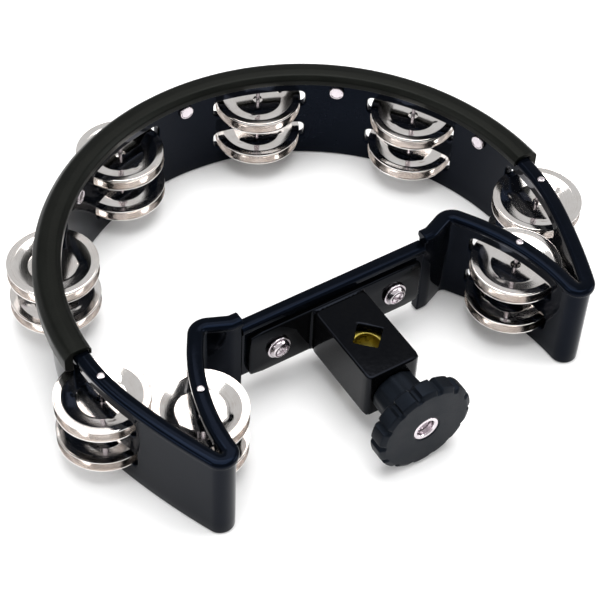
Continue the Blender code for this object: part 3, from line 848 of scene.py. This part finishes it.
def make_bracket():
    """Plate: an outline drawn in over its eased edges to both faces. Housing: a sleeve of rings
    that runs through the upper rod hole, over the outside, back through the lower hole and round
    the hollow inside."""
    back = line.bar_y - WALL - GAP
    front = back - PLATE
    rings = [(26, back), (9, back), (0.5, back), (0.15, back - 0.15), (0, back - 0.5)]
    rings += [(0, front + 0.7), (0.2, front + 0.2), (0.7, front), (9, front), (26, front)]
    middle_z, plate_x, plate_z = 26.5, 48.0, 14.0
    points = []
    for inset, y in rings:
        half_z = max(plate_z - inset, 0.001)
        plan = ring_of(plate_x - inset, half_z, min(max(3.2 - inset, 0.4), half_z))
        if inset > 20:
            plan = plan * (1, 0) * 0.5
        points.append(stacked(plan[:, 0], y, middle_z + plan[:, 1]))
    piece(
        "plate",
        [(np.stack(points), True, False, None)],
        "frame",
        ["bracket"],
        gloss_enamel,
        sharp=60,
    )
    low, high, wall, half_x, nose = 12.9, 40.1, 3.0, 14.0, -71.0
    half_y = (front - nose) / 2
    y0 = front - half_y

    def outer(inset, z):
        """The housing's outside at height z, drawn in by inset."""
        plan = ring_of(half_x - inset, half_y - inset * 0.999, max(2.2 - inset, 0.3))
        return stacked(plan[:, 0], y0 + plan[:, 1], z)

    def hole(grow, z):
        """The rod hole at height z, made larger by grow."""
        plan = diamond(8.5 + grow)
        return stacked(plan[:, 0], ROD_Y + plan[:, 1], z)

    def inner(z):
        """The hollow's outline at height z."""
        plan = ring_of(half_x - wall, half_y - wall, 0.8)
        return stacked(plan[:, 0], y0 + plan[:, 1], z)

    def blend(a, b, t):
        """A ring the share t of the way from a to b."""
        return a * (1 - t) + b * t

    rows = [hole(0, high - wall), hole(0, high - 0.5), hole(0.15, high - 0.15), hole(0.6, high)]
    rim_top = outer(0.6, high)
    rows += [blend(rows[3], rim_top, t) for t in (0.05, 0.35, 0.7, 0.95)]
    rows += [rim_top, outer(0.18, high - 0.18), outer(0, high - 0.6)]
    rows += [outer(0, z) for z in np.linspace(high - 1.2, low + 1.2, 7)]
    rows += [outer(0, low + 0.6), outer(0.18, low + 0.18), outer(0.6, low)]
    rim_low = rows[-1]
    hole_low = hole(0.6, low)
    rows += [blend(rim_low, hole_low, t) for t in (0.05, 0.35, 0.7, 0.95)]
    rows += [hole_low, hole(0.15, low + 0.15), hole(0, low + 0.5), hole(0, low + wall)]
    rows += [blend(rows[-1], inner(low + wall), t) for t in (0.5, 1.0)]
    rows += [inner(high - wall), blend(inner(high - wall), rows[0], 0.5)]
    piece(
        "housing",
        [(np.stack(rows), True, True, None)],
        "frame",
        [],
        gloss_enamel,
        sharp=60,
    )
    # weld: a fillet along the housing's sides and ends where it meets the plate
    t = np.linspace(0, math.pi / 2, 6)
    fillet = 1.4
    bead = stacked(fillet * (1 - np.sin(t)), fillet * (1 - np.cos(t)))
    t_all = np.arange(AROUND) * TAU / AROUND
    around = ring_of(half_x, (high - low) / 2, 1.5)
    out = around / np.linalg.norm(around, axis=1, keepdims=True)
    ripple = 0.12 * np.sin(t_all * 46)
    rows = []
    for dx, dy in bead:
        plan = around + out * (dx + ripple[:, None] * (dx < 1.3) * (dy < 1.3) - 0.05)
        plan[:, 1] = np.clip(plan[:, 1], -13.9, 13.9)
        rows.append(stacked(plan[:, 0], front + 0.05 - dy, middle_z + plan[:, 1]))
    rows.append(stacked(around[:, 0] * 0.9, front + 0.3, middle_z + around[:, 1] * 0.9))
    grid = (np.stack(rows), True, True, None)
    piece("weld", [grid], "frame", [], gloss_enamel, sharp=60)


def make_clamp():
    """The eye: a square block of rings out round its upright bore. The stud: a turned profile."""
    low, high, half, bore_radius = 16.2, 34.2, 9.5, 6.2

    def outer(inset, z):
        """The block's outline at height z, drawn in by inset."""
        plan = ring_of(half - inset, half - inset, 3.0)
        return stacked(plan[:, 0], plan[:, 1] + ROD_Y, z)

    def bore(grow, z):
        """The bore's circle at height z, made larger by grow."""
        t = np.arange(AROUND) * TAU / AROUND
        radius = bore_radius + grow
        return stacked(radius * np.cos(t), radius * np.sin(t) + ROD_Y, z)

    rows = [bore(0, 25), bore(0, high - 0.6), bore(0.2, high - 0.2), bore(0.6, high)]
    rows += [outer(0.6, high), outer(0.2, high - 0.2), outer(0, high - 0.6)]
    rows += [outer(0, low + 0.6), outer(0.2, low + 0.2), outer(0.6, low)]
    rows += [bore(0.6, low), bore(0.2, low + 0.2), bore(0, low + 0.6)]
    grid = (np.stack(rows), True, True, None)
    piece("eye", [grid], "clamp", ["clamp_eye"], yellow_zinc)

    def thread(angle, radius, height):
        """A 1.25 mm screw thread: the radius follows a triangle wave of height less angle."""
        wave = np.abs(((height / 1.25 - angle / TAU) % 1.0) * 2 - 1)
        ends = smooth((37.5 - height) / 2) * smooth((height - 0.4) / 0.8)
        return radius - 0.55 * wave * (radius > 3.0) * ends, height

    shank = stacked(4.0, np.linspace(0.5, 38.7, 306))
    stud = np.concatenate([[(0, 0), (2.6, 0.0), (3.4, 0.15)], shank, [(3.4, 39.1), (0, 39.2)]])
    points, uv = lathed(stud, 48, thread)
    points = placed(points, (0, STUD_Y, CLAMP_Z), (1, 0, 0), (0, 1, 0))
    grid = (points, True, False, uv)
    piece("stud", [grid], "clamp", ["clamp_stud"], bright_nickel, sharp=60)


def make_knob():
    """The knob is a turned profile with a rim of 14 lobes; the insert is a plain bush."""

    def lobes(angle, radius, height):
        """Radius less 14 rounded valleys, 2 mm deep, on the rim, and less 12 shallow waves,
        0.35 mm deep, on the neck."""
        phase = (angle * 14 / TAU) % 1.0
        near = np.minimum(phase, 1 - phase)
        valley = 1 - smooth((near - 0.06) / 0.12)
        on_rim = smooth((radius - 21.6) / 2.6)
        neck = (height > 9.6) * (radius > 9.0) * (radius < 13.5)
        flat = 12 * angle / TAU % 1.0
        facet = 0.35 * (1 - np.cos((flat - 0.5) * TAU)) / 2
        return radius - 2.0 * valley * on_rim - facet * neck, height

    profile = rounded_line(
        [
            (6.7, 22.0),
            (6.7, 0.5),
            (7.3, 0.0),
            (22.4, 0.0),
            (25.0, 1.3),
            (25.0, 8.6),
            (23.6, 9.6),
            (16.0, 10.6),
            (12.3, 12.0),
            (11.5, 27.2),
            (6.7, 27.2),
        ],
        [0, 0.2, 0.4, 1.4, 1.2, 1.4, 1.5, 2.5, 2.0, 0.8, 0.3],
        5,
        closed=True,
    )
    # long sides of the profile are split into steps of about 1.6 mm
    fine = []
    for a, b in zip(profile, np.roll(profile, -1, axis=0)):
        steps = max(1, int(np.linalg.norm(b - a) / 1.6))
        fine.append(a + (b - a) * (np.arange(steps) / steps)[:, None])
    profile = np.concatenate(fine)
    points, uv = lathed(profile, 336, lobes)
    points = placed(points, (0, KNOB_Y, CLAMP_Z), (1, 0, 0), (0, 1, 0))
    grid = (points, True, True, uv)
    piece("knob_body", [grid], "knob", ["knob"], knob_nylon, sharp=45)
    bush = [(4.5, 0.6), (5.0, 0.0), (6.6, 0.0), (6.6, 22.2), (4.5, 22.2)]
    bush = rounded_line(bush, [0.1, 0.2, 0.3, 0.3, 0.2], 4, closed=True)
    points, uv = lathed(bush, 64)
    points = placed(points, (0, INSERT_Y, CLAMP_Z), (1, 0, 0), (0, 1, 0))
    grid = (points, True, True, uv)
    piece("insert", [grid], "knob", ["knob_insert"], bright_nickel)


# ---------------------------------------------------------------- floor, light and camera


def make_studio():
    """A pale floor that reaches past the view, four soft lamps, an even sky and the camera."""
    mesh = bpy.data.meshes.new("floor")
    corners = [(4.0 * x, 4.0 * y, -0.0003) for x, y in ((-1, -1), (1, -1), (1, 1), (-1, 1))]
    mesh.from_pydata(corners, [], [(0, 1, 2, 3)])
    mesh.materials.append(studio_paper)
    floor = bpy.data.objects.new("floor", mesh)
    bpy.context.scene.collection.objects.link(floor)

    def soft_light(name, place, size, energy, colour="#FFFFFF"):
        """A rectangular lamp of some watts, aimed at the object."""
        lamp = bpy.data.lights.new(name, "AREA")
        lamp.shape = "RECTANGLE"
        lamp.size, lamp.size_y = size
        lamp.energy = energy
        lamp.color = linear(colour)[:3]
        obj = bpy.data.objects.new(name, lamp)
        obj.location = place
        aim = Vector((0.0, 0.0, 0.02)) - Vector(place)
        obj.rotation_euler = aim.to_track_quat("-Z", "Y").to_euler()
        bpy.context.scene.collection.objects.link(obj)

    soft_light("overhead", (0.1, 0.1, 1.9), (1.5, 1.5), 34.0)
    soft_light("left_bank", (-1.7, 0.2, 0.9), (1.2, 0.8), 14.0)
    soft_light("right_bank", (1.5, -0.9, 0.9), (1.0, 0.8), 12.0)
    soft_light("back_bank", (0.62, 0.91, 1.9), (0.8, 0.5), 3.5, "#FFF8F4")

    sky = bpy.data.worlds.new("studio_air")
    sky.use_nodes = True
    back = sky.node_tree.nodes["Background"]
    back.inputs["Color"].default_value = linear("#FFFFFF")
    back.inputs["Strength"].default_value = 0.62
    bpy.context.scene.world = sky
    bpy.context.scene.view_settings.view_transform = "Standard"

    azimuth, elevation, roll = math.radians(-34.481), math.radians(48.724), math.radians(3.101)
    away = Vector((
        math.sin(azimuth) * math.cos(elevation),
        -math.cos(azimuth) * math.cos(elevation),
        math.sin(elevation),
    ))
    right = (-away).cross(Vector((0, 0, 1))).normalized()
    up = right.cross(-away).normalized()
    right_turned = right * math.cos(roll) + up * math.sin(roll)
    up_turned = up * math.cos(roll) - right * math.sin(roll)
    data = bpy.data.cameras.new("camera")
    data.sensor_width = 36.0
    data.lens = 110.85
    data.clip_start = 0.05
    data.clip_end = 20.0
    camera = bpy.data.objects.new("camera", data)
    place = Vector(world((-339.09, -485.36, 691.21)))
    turn = Matrix((right_turned, up_turned, away)).transposed().to_4x4()
    camera.matrix_world = Matrix.Translation(place) @ turn
    bpy.context.scene.collection.objects.link(camera)
    bpy.context.scene.camera = camera


make_studio()
make_frame()
make_grip()
make_jingles()
make_small_metal()
make_bracket()
make_clamp()
make_knob()

bpy.context.view_layer.update()
